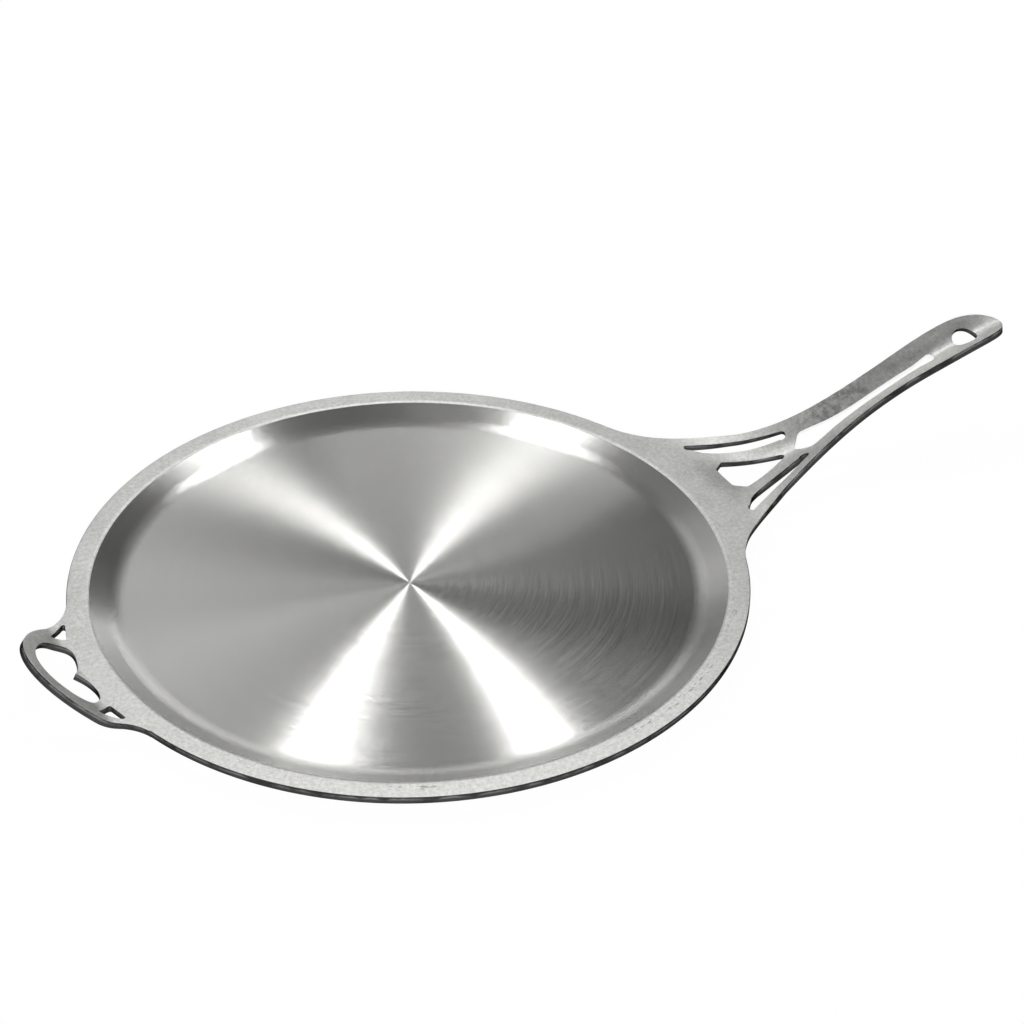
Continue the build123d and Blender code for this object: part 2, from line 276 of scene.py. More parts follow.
def rounded(corners, radius):
    """Closed outline of straight sides with rounded corners."""
    out = []
    corners = np.array(corners, float)
    for before, corner, after in zip(np.roll(corners, 1, axis=0), corners, np.roll(corners, -1, axis=0)):
        back, ahead = unit(before - corner), unit(after - corner)
        half = math.acos(float(np.clip(back @ ahead, -1, 1))) / 2
        cut = radius / math.tan(half)
        middle = corner + unit(back + ahead) * (radius / math.sin(half) - radius)
        out += arc_through(corner + back * cut, middle, corner + ahead * cut, CORNER_SPACING)
    return filled(out)


def thinned(points):
    """A closed line without doubled points."""
    out = []
    for point in points:
        if not out or np.linalg.norm(point - out[-1]) > LEAST_GAP:
            out.append(np.array(point, float))
    if np.linalg.norm(out[0] - out[-1]) <= LEAST_GAP:
        out.pop()
    return out


def mirror_image(points):
    return [np.array((p[0], -p[1])) for p in reversed(points)]


def both_sides(points):
    """One side of a closed outline, from axis to axis, and its mirror image."""
    return thinned(list(points) + mirror_image(points))


# ---------------- the form of the handles
class Blank:
    """Plan and forming of the whole sheet, in millimetres from the dish's centre."""

    def __init__(self, sizes):
        self.rim = sizes.rim_radius / MM
        self.top = sizes.flange_top / MM
        self.sheet = sizes.sheet / MM
        self.seam = sizes.seam_radius / MM
        self.root_half_width = sizes.root_half_width / MM
        self.length = TIP_REACH - self.rim
        self.palm = self.length - PALM_INSET
        self.hole = self.length - HANG_HOLE_INSET
        self.helper_tip = -HELPER_LOW.x / MM - self.sheet * math.sin(HELPER_ANGLE) - self.rim
        line = [(HANDLE_ROOT, 0.0), *RISE_LINE, (self.length, TIP_HEIGHT)]
        self.line = np.array(smooth_line(line, [(1, 0), (1, TIP_SLOPE)], LINE_SPACING))

    # long handle
    def half_width(self, x):
        """Half width of the long handle at a distance from the rim."""
        flare = np.clip((WAIST - x) / (WAIST - HANDLE_ROOT), 0, FLARE_LIMIT) ** FLARE_POWER
        swell = np.sin(np.pi / 2 * np.clip((x - WAIST) / (self.palm - WAIST), 0, 1)) ** 2
        rounding = np.clip((x - self.palm) / PALM_INSET, 0, 1)
        width = WAIST_HALF_WIDTH + (self.root_half_width - WAIST_HALF_WIDTH) * flare + PALM_SWELL * swell
        return width * np.sqrt(1 - rounding ** TIP_POWER)

    def gutter(self, x, y):
        """Height over the middle of the channel."""
        step = np.clip((x - HANDLE_ROOT) / (GUTTER_FULL - HANDLE_ROOT), 0, 1)
        width = np.maximum(self.half_width(x), LEAST_WIDTH)
        fade = np.where(x > self.palm, width / self.half_width(self.palm), 1.0)
        sag = GUTTER_DEPTH * step ** 2 * (3 - 2 * step) * fade ** 2
        share = np.clip(np.abs(y) / width, 0, GUTTER_LIMIT)
        bottom = 1 + GUTTER_FOLD - GUTTER_LIP
        return sag * (bottom * share ** 2 - GUTTER_FOLD * share ** 3 + GUTTER_LIP * share ** 4)

    def rise(self, x):
        """Height of the channel's middle over the flange."""
        return np.interp(x, self.line[:, 0], self.line[:, 1])

    def slope(self, x):
        """Angle of the channel's middle."""
        grade = np.gradient(self.line[:, 1], self.line[:, 0])
        return np.arctan(np.interp(x, self.line[:, 0], grade))

    def handle_height(self, x, y):
        """Height over the flange of the long handle's upper side, at a plan point."""
        station = x.copy()
        for _ in range(SETTLING):
            station = x + self.gutter(station, y) * np.sin(self.slope(station))
        return self.rise(station) + self.gutter(station, y) * np.cos(self.slope(station))

    def handle_side(self):
        """Plan of the +y edge from root to tip."""
        tip = PALM_INSET * np.sin(np.linspace(TIP_START, math.pi / 2, TIP_STATIONS))
        x = np.concatenate([np.linspace(HANDLE_ROOT, self.palm, SIDE_STATIONS), self.palm + tip])
        width = self.half_width(x)
        return list(np.column_stack([self.rim + x - self.gutter(x, width) * np.sin(self.slope(x)), width]))

    # helper handle
    def helper_profile(self, x):
        """Height over the flange of the helper's upper side, at a distance from the rim."""
        start = HELPER_BEND - HELPER_BEND_RADIUS * math.tan(HELPER_ANGLE / 2)
        end = start + HELPER_BEND_RADIUS * math.sin(HELPER_ANGLE)
        bend = HELPER_BEND_RADIUS - np.sqrt(
            np.maximum(HELPER_BEND_RADIUS ** 2 - np.clip(x - start, 0, end - start) ** 2, 0))
        return bend + np.maximum(x - end, 0) * math.tan(HELPER_ANGLE)

    def shoulder_corner(self):
        """Centre of the hollow corner from the rim into the loop, and where the loop's centre lies."""
        loop = self.rim + self.helper_tip - LOOP_RADIUS
        to_rim = self.rim + SHOULDER_RADIUS
        to_loop = LOOP_RADIUS + SHOULDER_RADIUS
        along = (to_rim ** 2 - to_loop ** 2 + loop ** 2) / (2 * loop)
        return np.array((along, math.sqrt(to_rim ** 2 - along ** 2))), loop

    def helper_side(self):
        """Plan of the helper's edge on the +x side, from the rim to the tip."""
        corner, loop = self.shoulder_corner()
        start = corner * self.rim / (self.rim + SHOULDER_RADIUS)
        centre = np.array((loop, 0.0))
        touch = centre + (corner - centre) * LOOP_RADIUS / (LOOP_RADIUS + SHOULDER_RADIUS)
        first = math.atan2(touch[1], touch[0] - loop)
        tip = [centre + LOOP_RADIUS * ray(a) for a in np.linspace(first, 0, TIP_STATIONS)]
        return hollow(start, touch, corner, SHOULDER_RADIUS) + tip[1:]

    def from_cut_view(self, points):
        """Plan points of a cut that is laid out square to the middle of the helper's bend."""
        xs = np.linspace(VIEW_SPAN[0], self.helper_tip + VIEW_SPAN[1], VIEW_STATIONS)
        view = HELPER_BEND + (xs - HELPER_BEND) * math.cos(HELPER_ANGLE / 2)
        view += self.helper_profile(xs) * math.sin(HELPER_ANGLE / 2)
        return [np.array((np.interp(p[0], view, xs), p[1])) for p in points]

    # whole outline
    def root_corner(self):
        """Start, centre and radius of the hollow corner that leads the handle's edge into the rim."""
        slope = -(self.root_half_width - WAIST_HALF_WIDTH) * FLARE_POWER / (WAIST - HANDLE_ROOT)
        lean = math.atan(slope)
        outward = np.array((-math.sin(lean), math.cos(lean)))
        start = np.array((self.rim + HANDLE_ROOT, self.root_half_width))
        radius = (start @ start - self.rim ** 2) / (2 * (self.rim - start @ outward))
        return start, start + outward * radius, radius

    def outline(self):
        """The outer edge of the blank, counter-clockwise."""
        root, corner, radius = self.root_corner()
        touch = corner * self.rim / (self.rim + radius)
        helper = self.helper_side()
        first = math.atan2(touch[1], touch[0])
        last = math.pi - math.atan2(helper[0][1], helper[0][0])
        steps = int(round((last - first) * self.rim / RIM_SPACING))
        rim = [self.rim * ray(a) for a in np.linspace(first, last, steps)]
        half = self.handle_side()[::-1] + hollow(root, touch, corner, radius)[1:]
        half += rim[1:] + [np.array((-p[0], p[1])) for p in helper[1:]]
        half[0][1] = 0.0
        half[-1][1] = 0.0
        return both_sides(half)

    # cut-outs
    def window(self):
        base, corner, apex = WINDOW
        return rounded([base, corner, apex, (corner[0], -corner[1]), (base[0], -base[1])], WINDOW_ROUND)

    def side_slot(self):
        rail = [(x, float(self.half_width(np.float64(x))) - width) for x, width in SIDE_RAIL]
        slot = arc_through(*rail) + bulged(rail[-1], SLOT_INNER[0], -SLOT_TIP_BULGE)[1:]
        return slot + smooth_line(SLOT_INNER)[1:] + bulged(SLOT_INNER[-1], rail[0], -SLOT_ROOT_BULGE)[1:]

    def spine_slot(self):
        """The long slot along the gutter: blunt point, flared mouth, narrow gap and end bulb."""
        end = self.hole - HANG_HOLE_RADIUS - BRIDGE
        gap_end, bulb = (end - SPINE_BULB_LENGTH, SPINE_GAP), (end - SPINE_END_ROUND, SPINE_BULB)
        mouth = SPINE_MOUTH[0]
        point = arc_through((mouth[0], -mouth[1]), SPINE_TIP, mouth, FINE_SPACING)
        round_end = arc_through(bulb, (end, 0), (bulb[0], -bulb[1]), FINE_SPACING)
        side = point[len(point) // 2:]
        side += straight(*SPINE_MOUTH, MOUTH_STEPS)[:-1]
        side += arc_through(*SPINE_SHOULDER, SHOULDER_SPACING)
        side += smooth_line(SPINE_TAPER, SPINE_TAPER_ENDS)[1:]
        side += straight(SPINE_TAPER[-1], gap_end, GAP_STEPS)
        side += smooth_line([gap_end, bulb], SPINE_BULB_ENDS)[1:]
        side += round_end[1:len(round_end) // 2 + 1]
        side[0][1] = 0.0
        side[-1][1] = 0.0
        return both_sides(side)

    def hang_hole(self):
        """Plan of the round hole, which is bored square to the handle's line."""
        ring = [HANG_HOLE_RADIUS * ray(a) for a in np.linspace(0, math.tau, HOLE_STEPS, endpoint=False)]
        along, across = np.transpose(ring)
        lean = self.slope(self.hole)
        lip = self.gutter(self.hole + along, across)
        return np.column_stack([self.hole + along * math.cos(lean) - lip * math.sin(lean), across])

    def helper_cuts(self):
        """Finger hole and both ear holes, seen square to the middle of the bend."""
        middle = math.cos(HELPER_ANGLE / 2)
        tip = HELPER_BEND + (self.helper_tip - HELPER_BEND) * middle / math.cos(HELPER_ANGLE)
        finger = smooth_line([FINGER_CUSP, FINGER_SCALLOP, *FINGER_CORNER], FINGER_CORNER_ENDS)
        finger += smooth_line([FINGER_CORNER[-1], FINGER_SIDE, (tip - FINGER_RAIL, 0)], FINGER_SIDE_ENDS)[1:]
        ear = rounded([(x, LOOP_RADIUS - inset) for x, inset in EAR_HOLE], EAR_ROUND)
        return both_sides(finger), ear, mirror_image(ear)

    def cut_outs(self):
        """Every closed edge inside the outline, apart from the seam."""
        window, slot, spine, ring = (
            thinned([np.array((self.rim + p[0], p[1])) for p in loop])
            for loop in (self.window(), self.side_slot(), self.spine_slot(), self.hang_hole()))
        helper = [
            thinned([np.array((-self.rim - p[0], p[1])) for p in self.from_cut_view(loop)])
            for loop in self.helper_cuts()]
        return [window, slot, mirror_image(slot), spine, ring, *helper]

    def in_spine(self, x, y):
        """Whether a cut edge belongs to the long slot along the gutter."""
        beyond, aside = SPINE_MARGIN
        end = self.hole - HANG_HOLE_RADIUS - beyond
        return SPINE_TIP[0] - beyond < x - self.rim < end and abs(y) < SPINE_SHOULDER[1][1] + aside

    def height(self, x, y):
        """Upper side of the formed sheet at plan points, outside the seam."""
        out = np.full(len(x), self.top)
        handle = x > self.rim + HANDLE_ROOT
        out[handle] += self.handle_height(x[handle] - self.rim, y[handle])
        helper = x < -self.rim
        out[helper] += self.helper_profile(-x[helper] - self.rim)
        return out


def inside(loop, points):
    """Which plan points lie inside a closed line."""
    loop = np.array(loop)
    x, y = points[:, 0][:, None], points[:, 1][:, None]
    ax, ay = loop[:, 0][None], loop[:, 1][None]
    bx, by = np.roll(loop[:, 0], -1)[None], np.roll(loop[:, 1], -1)[None]
    crosses = (ay > y) != (by > y)
    with np.errstate(divide="ignore", invalid="ignore"):
        at = (bx - ax) * (y - ay) / (by - ay) + ax
    return (np.sum(crosses & (x < at), axis=1) % 2) == 1


def near(points, loops, distance):
    """Which plan points lie closer to any line's points than this."""
    corners = [p for loop in loops for p in loop]
    tree = KDTree(len(corners))
    for i, p in enumerate(corners):
        tree.insert((p[0], p[1], 0), i)
    tree.balance()
    return np.array([tree.find((p[0], p[1], 0))[2] < distance for p in points])


# ---------------- mesh helpers
def new_piece(name, data):
    obj = bpy.data.objects.new(name, data)
    bpy.context.scene.collection.objects.link(obj)
    return obj


def read(items, key, size=1, kind=float):
    """One property of every item of a mesh, as an array."""
    values = np.zeros(len(items) * size, kind)
    items.foreach_get(key, values)
    return values.reshape(-1, size) if size > 1 else values


def soften(mesh, cap_radius):
    """Normals that keep flats flat beside narrow bends; the hidden seam wall stays out of them."""
    normals = read(mesh.polygons, "normal", 3)
    centres = read(mesh.polygons, "center", 3)
    areas = read(mesh.polygons, "area")
    owner = np.repeat(np.arange(len(areas)), read(mesh.polygons, "loop_total", kind=int))
    corners = read(mesh.loops, "vertex_index", kind=int)
    radius = np.hypot(centres[:, 0], centres[:, 1])
    cap = (np.abs(normals[:, 2]) < UPRIGHT) & (np.abs(radius - cap_radius) < SEAM_REACH)
    weight = np.where(cap, 0.0, areas * areas)[owner]
    out = np.zeros((len(mesh.vertices), 3))
    for axis in range(3):
        np.add.at(out[:, axis], corners, normals[owner, axis] * weight)
    length = np.linalg.norm(out, axis=1)
    length[length == 0] = 1
    out /= length[:, None]
    split = out[corners]
    split[cap[owner]] = normals[owner[cap[owner]]]
    mesh.polygons.foreach_set("use_smooth", np.ones(len(areas), bool))
    mesh.normals_split_custom_set(split.tolist())
    mesh.update()


# ---------------- node trees
class Tree:
    """Short hand for a node tree; a node given as a value stands for its first output."""

    def __init__(self, tree):
        self.tree = tree

    def feed(self, socket, value):
        if isinstance(value, bpy.types.Node):
            value = value.outputs[0]
        if isinstance(value, bpy.types.NodeSocket):
            self.tree.links.new(value, socket)
        elif value is not None:
            socket.default_value = value

    def wire(self, node, **values):
        """Capitalised keywords are inputs of the node, the others its settings."""
        for key, value in values.items():
            if key[0].isupper():
                self.feed(node.inputs[key.replace("_", " ")], value)
            else:
                setattr(node, key, value)
        return node

    def add(self, kind, **values):
        return self.wire(self.tree.nodes.new(kind), **values)

    def fill(self, node, *values):
        """Give the node's first inputs these values."""
        for socket, value in zip(node.inputs, values):
            self.feed(socket, value)
        return node.outputs[0]

    def math(self, operation, *values):
        return self.fill(self.add("ShaderNodeMath", operation=operation), *values)

    def plus(self, first, second):
        return self.math("ADD", first, second)

    def minus(self, first, second):
        return self.math("SUBTRACT", first, second)

    def times(self, first, second):
        return self.math("MULTIPLY", first, second)

    def vector(self, x=0.0, y=0.0, z=0.0):
        return self.fill(self.add("ShaderNodeCombineXYZ"), x, y, z)

    def split(self, vector):
        return self.add("ShaderNodeSeparateXYZ", Vector=vector).outputs

    def vectors(self, operation, *values, **named):
        node = self.add("ShaderNodeVectorMath", operation=operation, **named)
        self.fill(node, *values)
        return node.outputs["Value" if operation == "DOT_PRODUCT" else "Vector"]

    def shade(self, colour, factor):
        """The colour, lightened or darkened by a factor round one."""
        return self.vectors("SCALE", tuple(colour), Scale=factor)

    def reach(self, x, y):
        """Distance from the pan's axis."""
        return self.math("SQRT", self.plus(self.math("POWER", x, 2.0), self.math("POWER", y, 2.0)))

    def remap(self, value, low, high, new_low=0.0, new_high=1.0):
        return self.fill(self.add("ShaderNodeMapRange"), value, low, high, new_low, new_high)

    def noise(self, where, scale, detail=2.0, roughness=0.5):
        node = self.add("ShaderNodeTexNoise", Vector=where, Scale=scale, Detail=detail, Roughness=roughness)
        return node.outputs["Fac"]

    def bump(self, height, strength=None):
        return self.add("ShaderNodeBump", Strength=strength, Distance=BUMP_DEPTH, Height=height)

    def here(self):
        return self.add("ShaderNodeTexCoord").outputs["Object"]


def node_group(kind, name, inputs, outputs):
    """A node group: its short hand, the sockets it is given and those it gives back.

    An input is named with its kind of socket, or with the default of a number.
    """
    tree = bpy.data.node_groups.new(name, kind)
    for label, value in inputs.items():
        number = not isinstance(value, str)
        socket = tree.interface.new_socket(
            name=label, in_out="INPUT", socket_type="NodeSocket" + ("Float" if number else value))
        if number:
            socket.default_value = value
    for label, value in outputs.items():
        tree.interface.new_socket(name=label, in_out="OUTPUT", socket_type="NodeSocket" + value)
    t = Tree(tree)
    return t, t.add("NodeGroupInput").outputs, t.add("NodeGroupOutput").inputs


# ---------------- dish, by geometry nodes
def lathe_tree():
    """Turned dish: a closed section of floor, cove, wall and flange, filleted and turned round Z."""
    lengths = ("Sheet", "Flange Top", "Crease Radius", "Seam Radius", "Wall Angle", "Cove", "Crease Inside")
    t, given, out = node_group(
        "GeometryNodeTree", "Turned dish",
        {"Geometry": "Geometry", **dict.fromkeys(lengths, 0.0), "Segments": "Int", "Turned": "Material",
         "Blasted": "Material"}, {"Geometry": "Geometry"})
    sheet, top, crease, seam, slope, cove, inner = (given[label] for label in lengths)
    half_turn = t.math("TANGENT", t.times(slope, 0.5))
    shift = t.times(sheet, half_turn)
    depth = t.minus(top, sheet)
    foot = t.minus(crease, t.math("DIVIDE", depth, t.math("TANGENT", slope)))
    outer = t.plus(inner, sheet)
    section = [
        (0.0, sheet, 0.0),
        (foot, sheet, cove),
        (crease, top, outer),
        (seam, top, 0.0),
        (seam, depth, 0.0),
        (t.plus(crease, shift), depth, inner),
        (t.plus(foot, shift), 0.0, t.plus(cove, sheet)),
        (0.0, 0.0, 0.0),
    ]
    index = t.add("GeometryNodeInputIndex")

    def by_index(kind, values):
        switch = t.add("GeometryNodeIndexSwitch", data_type=kind)
        while len(switch.index_switch_items) < len(section):
            switch.index_switch_items.new()
        t.fill(switch, index, *values)
        return switch

    line = t.add("GeometryNodeCurvePrimitiveLine")
    line = t.add("GeometryNodeResampleCurve", Curve=line, Count=len(section))
    line = t.add("GeometryNodeSetPosition", Geometry=line,
                 Position=by_index("VECTOR", [t.vector(r, 0.0, z) for r, z, _ in section]))
    line = t.add("GeometryNodeFilletCurve", mode="POLY", Curve=line, Count=FILLET_STEPS,
                 Radius=by_index("FLOAT", [radius for _, _, radius in section]))
    points = t.add("GeometryNodeCurveToPoints", mode="EVALUATED", Curve=line)
    size = t.add("GeometryNodeAttributeDomainSize", component="POINTCLOUD", Geometry=points)
    columns = t.plus(given["Segments"], 1.0)
    grid = t.add("GeometryNodeMeshGrid", Vertices_X=size.outputs["Point Count"], Vertices_Y=columns)
    row = t.math("FLOOR", t.math("DIVIDE", t.plus(index, 0.5), columns))
    column = t.minus(index, t.times(row, columns))
    outward, _, height = t.split(t.add(
        "GeometryNodeSampleIndex", data_type="FLOAT_VECTOR", domain="POINT", Geometry=points,
        Value=t.add("GeometryNodeInputPosition"), Index=row))
    angle = t.times(t.math("DIVIDE", column, given["Segments"]), math.tau)
    turned = t.add("GeometryNodeSetPosition", Geometry=grid, Position=t.vector(
        t.times(outward, t.math("COSINE", angle)), t.times(outward, t.math("SINE", angle)), height))
    across, around, _ = t.split(grid.outputs["UV Map"])
    turned = t.add("GeometryNodeStoreNamedAttribute", data_type="FLOAT2", domain="CORNER", Geometry=turned,
                   Name="turned", Value=t.vector(around, across))
    turned = t.add("GeometryNodeMergeByDistance", Geometry=turned, Distance=MERGE_DISTANCE)
    turned = t.add("GeometryNodeRealizeInstances", Geometry=turned)
    turned = t.add("GeometryNodeSetMaterial", Geometry=turned, Material=given["Turned"])
    x, y, _ = t.split(t.add("GeometryNodeInputPosition"))
    upward = t.split(t.add("GeometryNodeInputNormal"))[2]
    beyond = t.math("GREATER_THAN", t.reach(x, y), t.minus(crease, t.times(outer, half_turn)))
    under = t.math("LESS_THAN", upward, UNDERSIDE)
    turned = t.add("GeometryNodeSetMaterial", Geometry=turned, Selection=t.math("MAXIMUM", under, beyond),
                   Material=given["Blasted"])
    t.feed(out["Geometry"], turned)
    return t.tree


def run_nodes(name, tree, values):
    """A piece with a plain mesh from a geometry node tree with these inputs."""
    host = new_piece(name, bpy.data.meshes.new(name))
    modifier = host.modifiers.new(name, "NODES")
    modifier.node_group = tree
    for socket in tree.interface.items_tree:
        if socket.in_out == "INPUT" and socket.name in values:
            modifier[socket.identifier] = values[socket.name]
    graph = bpy.context.evaluated_depsgraph_get()
    mesh = bpy.data.meshes.new_from_object(host.evaluated_get(graph), depsgraph=graph)
    host.modifiers.clear()
    old = host.data
    host.data = mesh
    bpy.data.meshes.remove(old)
    mesh.name = name
    return host


# ---------------- rim and handles, from one blank
def flat_plan(blank, turns):
    """Points and triangles of the blank between its outline, its cut-outs and the seam."""
    outline = blank.outline()
    seam = [blank.seam * ray(a) for a in np.linspace(0, math.tau, turns, endpoint=False)]
    holes = [*blank.cut_outs(), seam]
    loops = [outline, *holes]

    def in_sheet(points):
        wanted = inside(outline, points)
        for loop in holes:
            wanted &= ~inside(loop, points)
        return wanted

    low, high = np.min(outline, axis=0), np.max(outline, axis=0)
    xs = np.arange(low[0], high[0], GRID_SPACING)
    ys = np.arange(low[1], high[1], ROW_SPACING)
    grid = np.array([(x + (0.5 * GRID_SPACING if j % 2 else 0), y) for j, y in enumerate(ys) for x in xs])
    grid = grid[in_sheet(grid)]
    grid = grid[~near(grid, loops, GRID_CLEARANCE)]
    points = [Vector(p) for line in [*loops, grid] for p in line]
    edges, first = [], 0
    for loop in loops:
        edges += [(first + i, first + (i + 1) % len(loop)) for i in range(len(loop))]
        first += len(loop)
    plan, _, faces, *_ = delaunay_2d_cdt(points, edges, [], 1, SAME_POINT, False)
    plan = np.array([(v.x, v.y) for v in plan])
    faces = [f for f in faces if len(f) == 3]
    centres = np.array([plan[list(f)].mean(axis=0) for f in faces])
    return plan, [f for f, wanted in zip(faces, in_sheet(centres)) if wanted]


def both_skins(blank, plan):
    """Upper and lower side of the formed sheet at its plan points."""
    x, y = plan[:, 0], plan[:, 1]
    step = GRADE_STEP
    rise_x = (blank.height(x + step, y) - blank.height(x - step, y)) / (2 * step)
    rise_y = (blank.height(x, y + step) - blank.height(x, y - step)) / (2 * step)
    normals = np.stack([-rise_x, -rise_y, np.ones(len(plan))], axis=1)
    normals /= np.linalg.norm(normals, axis=1)[:, None]
    upper = np.column_stack([plan, blank.height(x, y)])
    return upper, upper - normals * blank.sheet


def formed_sheet(name, sizes):
    """The sheet outside the seam: both skins, the walls along every cut and their broken edges."""
    blank = Blank(sizes)
    plan, faces = flat_plan(blank, sizes.turns)
    bm = bmesh.new()
    tops, bottoms = ([bm.verts.new(p * MM) for p in skin] for skin in both_skins(blank, plan))
    for a, b, c in faces:
        ahead, aside = plan[b] - plan[a], plan[c] - plan[a]
        if ahead[0] * aside[1] - ahead[1] * aside[0] < 0:
            b, c = c, b
        bm.faces.new((tops[a], tops[b], tops[c]))
        bm.faces.new((bottoms[a], bottoms[c], bottoms[b]))
    index = {v: i for i, v in enumerate(tops)}
    place = bm.loops.layers.uv.new("edge")
    round_rim, other_edges = [], []
    for edge in [e for e in bm.edges if e.is_boundary and e.verts[0] in index]:
        corner = edge.link_loops[0]
        a, b = corner.vert, corner.link_loop_next.vert
        i, j = index[a], index[b]
        wall = bm.faces.new((b, a, bottoms[i], bottoms[j]))
        middle = (a.co + b.co) / 2
        wall.material_index = SLOT_SKIN if blank.in_spine(middle.x / MM, middle.y / MM) else CUT_SKIN
        for corner, height in zip(wall.loops, (1.0, 1.0, 0.0, 0.0)):
            corner[place].uv = (0.5, height)
        radius = math.hypot(middle.x, middle.y)
        if abs(radius - sizes.seam_radius) > SEAM_CLEARANCE:
            kind = round_rim if abs(radius - sizes.rim_radius) < RIM_REACH else other_edges
            kind += [edge, bm.edges.get((bottoms[i], bottoms[j]))]
    bmesh.ops.delete(bm, geom=[v for v in bm.verts if not v.link_faces], context="VERTS")
    for kind, skin in ((other_edges, TOP_SKIN), (round_rim, CUT_SKIN)):
        bmesh.ops.bevel(
            bm, geom=[e for e in kind if e.is_valid], offset=sizes.edge_round, segments=2, profile=0.5,
            affect="EDGES", clamp_overlap=True, material=skin)
    mesh = bpy.data.meshes.new(name)
    bm.to_mesh(mesh)
    bm.free()
    return mesh


# ---------------- finishes
BUMP_DEPTH = 0.00012

NOISE_SPAN = (0.3, 0.7)  # where most of a noise lies

# marks of the lathe: how many a metre outwards, how many a radian, how far they lean the surface
RING_FINENESS, RING_TILT = 6500.0, 0.4
ARC_FINENESS, ARC_TURNS, ARC_TILT = 1700.0, 3.0, 0.002
ARC_SPAN = (-0.2, 0.2)
SCRATCHES_PER_ARC, SCRATCH_TURNS = 2.0, 12.0
# painted glints: the marks show mostly on the front side of the floor, and the scratches lighten the colour
# as if they caught the light
GLINT_SIDE, GLINT_SPAN = (0.0, -1.0, 0.0), (0.2, 0.65, 0.12, 1.0)
MARKED_FLOOR = (0.118, 0.126, 1.0, 0.0)

# bead blasting: grains, mottles and clouds a metre
GRAIN, MOTTLE, CLOUDS = 1700.0, 560.0, 70.0

# scuffs of the press
PRESS_RADIUS, PRESS_WIDTH = 0.1438, 0.0022
PRESS_DASHES, PRESS_FINENESS, PRESS_STRETCHES = 42.0, 1300.0, 2.6
PRESS_SIDE = (-0.07, -1.0, 0.0)

# places along the long handle, in metres from the pan's axis
STAIN_START, STAIN_END = (0.205, 0.218), (0.240, 0.252, 1.0, 0.0)
STAIN_SIDE, STAIN_FINENESS = (0.001, 0.003), 260.0
# painted shade: the right side of the flange and the root of the long handle are darkened
ROOT_SHADE_START, ROOT_SHADE_END = (0.06, 0.13), (0.19, 0.215, 1.0, 0.0)

# ridges and patches of the cutting beam, a metre
RIDGES, PATCHES = 2400.0, 110.0


def polar(t):
    """Direction away from the pan's axis, and the distance from it."""
    x, y, _ = t.split(t.here())
    return t.vectors("NORMALIZE", t.vector(x, y)), t.reach(x, y)


def ring_noise(t, outward, radius, around, across, detail):
    """Noise drawn out along the rings: so many marks a radian and so many a metre."""
    turned = t.vectors("SCALE", outward, Scale=around)
    return t.noise(t.vectors("ADD", turned, t.vector(z=t.times(radius, across))), 1.0, detail)


def turning_effect(name):
    """Fine rings left by the lathe: a radial tilt of the surface and masks of its broader marks, strongest
    on the front side of the floor as painted glints.
    """
    t, given, out = node_group(
        "ShaderNodeTree", name,
        {"Fineness": RING_FINENESS, "Tilt": RING_TILT, "Arcs": ARC_FINENESS, "Arc Tilt": ARC_TILT},
        {"Normal": "Vector", "Arcs": "Float", "Scratches": "Float"})
    outward, radius = polar(t)
    fine = t.add("ShaderNodeTexNoise", noise_dimensions="1D", W=t.times(radius, given["Fineness"]),
                 Scale=1.0, Detail=1.0)
    fine = t.minus(fine.outputs["Fac"], 0.5)
    arcs = t.minus(ring_noise(t, outward, radius, ARC_TURNS, given["Arcs"], 3.0), 0.5)
    closer = t.times(given["Arcs"], SCRATCHES_PER_ARC)
    scratches = ring_noise(t, outward, radius, SCRATCH_TURNS, closer, 1.0)
    tilt = t.plus(t.times(fine, given["Tilt"]), t.times(arcs, given["Arc Tilt"]))
    lean = t.add("ShaderNodeVectorTransform", vector_type="VECTOR", convert_from="OBJECT",
                 convert_to="WORLD", Vector=t.vectors("SCALE", outward, Scale=tilt))
    normal = t.add("ShaderNodeNewGeometry").outputs["Normal"]
    t.feed(out["Normal"], t.vectors("NORMALIZE", t.vectors("ADD", normal, lean)))
    # painted glints: the marks are kept to the front side of the floor, where they catch light
    glint_side = t.remap(t.vectors("DOT_PRODUCT", outward, GLINT_SIDE), *GLINT_SPAN)
    floor = t.times(t.remap(radius, *MARKED_FLOOR), glint_side)
    t.feed(out["Arcs"], t.times(arcs, floor))
    t.feed(out["Scratches"], t.times(t.remap(scratches, 0.62, 0.72), floor))


def blasting_effect(name):
    """Bead blasted skin: a fine pitted grain, a coarser mottle and soft clouds."""
    t, given, out = node_group(
        "ShaderNodeTree", name, {"Grain": GRAIN, "Depth": 1.0, "Mottle": MOTTLE, "Clouds": CLOUDS},
        {"Normal": "Vector", "Speckle": "Float", "Mottle": "Float", "Clouds": "Float"})
    where = t.here()
    grain = t.noise(where, given["Grain"], 3.0, 0.6)
    t.feed(out["Normal"], t.bump(grain, given["Depth"]))
    t.feed(out["Speckle"], grain)
    t.feed(out["Mottle"], t.noise(where, given["Mottle"], 2.0, 0.6))
    t.feed(out["Clouds"], t.noise(where, given["Clouds"], 5.0, 0.62))


